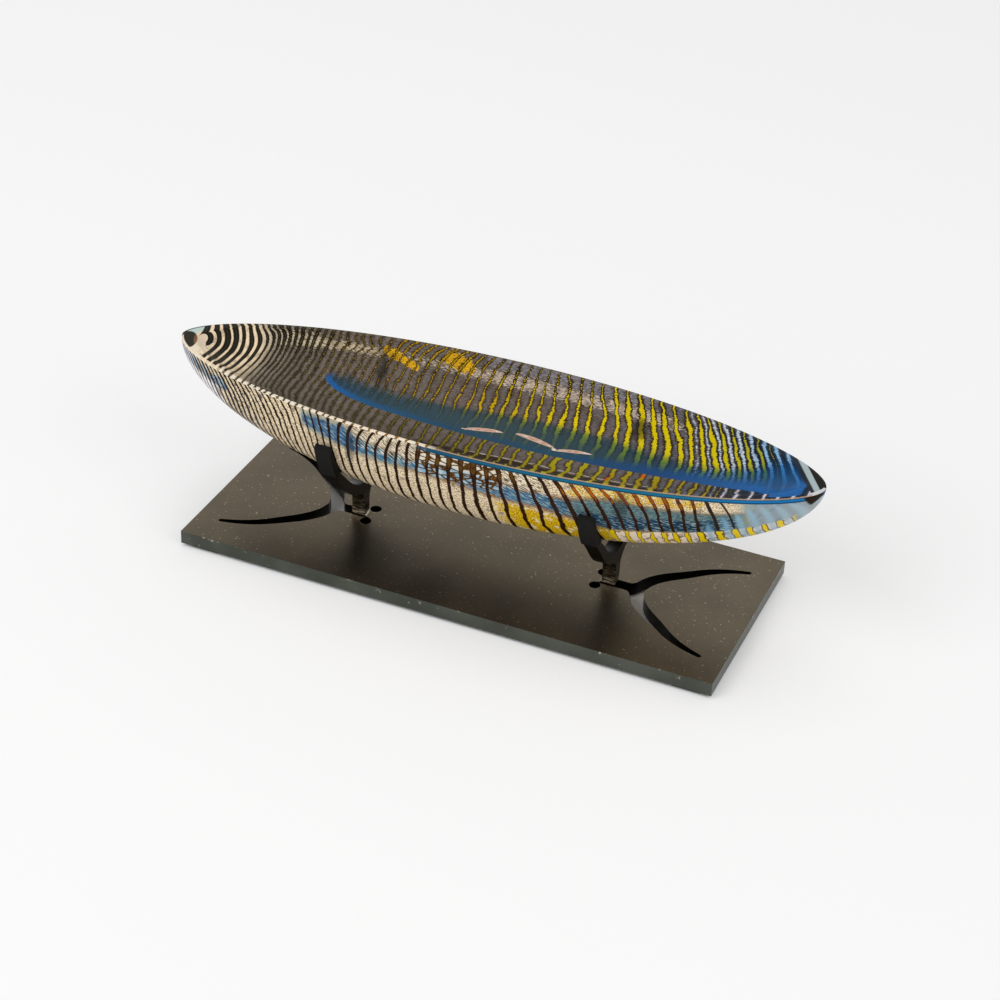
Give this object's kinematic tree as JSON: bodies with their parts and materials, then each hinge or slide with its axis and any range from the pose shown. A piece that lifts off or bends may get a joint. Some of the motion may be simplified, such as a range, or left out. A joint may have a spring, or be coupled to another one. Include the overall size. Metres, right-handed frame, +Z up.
{
  "type": "glass boat sculpture on steel stand",
  "caption": "Long boat-shaped bowl of striped cased glass that rests in two forked cradles bent up from a flat steel base plate.",
  "frame": {"origin": "on the surface the stand rests on, under the middle of the plate and of the boat", "axes": "+X along the boat and the plate, +Y across them, +Z up"},
  "size_m": [0.6084, 0.2032, 0.1677],
  "materials": {
    "cased_glass": "striped opaque and tinted glass cased in clear, ground and polished",
    "blackened_steel": "dark brown-black satin patina with worn edges",
    "sleeve_rubber": "matte black",
    "foot_rubber": "matte black"
  },
  "bodies": {
    "stand": {"steel_base": "blackened_steel", "arm_sleeve_left_front": "sleeve_rubber", "arm_sleeve_left_back": "sleeve_rubber", "arm_sleeve_right_front": "sleeve_rubber", "arm_sleeve_right_back": "sleeve_rubber", "foot_pad_left_front": "foot_rubber", "foot_pad_left_back": "foot_rubber", "foot_pad_right_front": "foot_rubber", "foot_pad_right_back": "foot_rubber"},
    "boat": {"glass_boat": "cased_glass"}
  },
  "joints": [
    {"name": "boat_lift", "type": "slide", "parent": "stand", "child": "boat", "axis": [0, 0, 1], "range_m": [0, 0.09]}
  ]
}
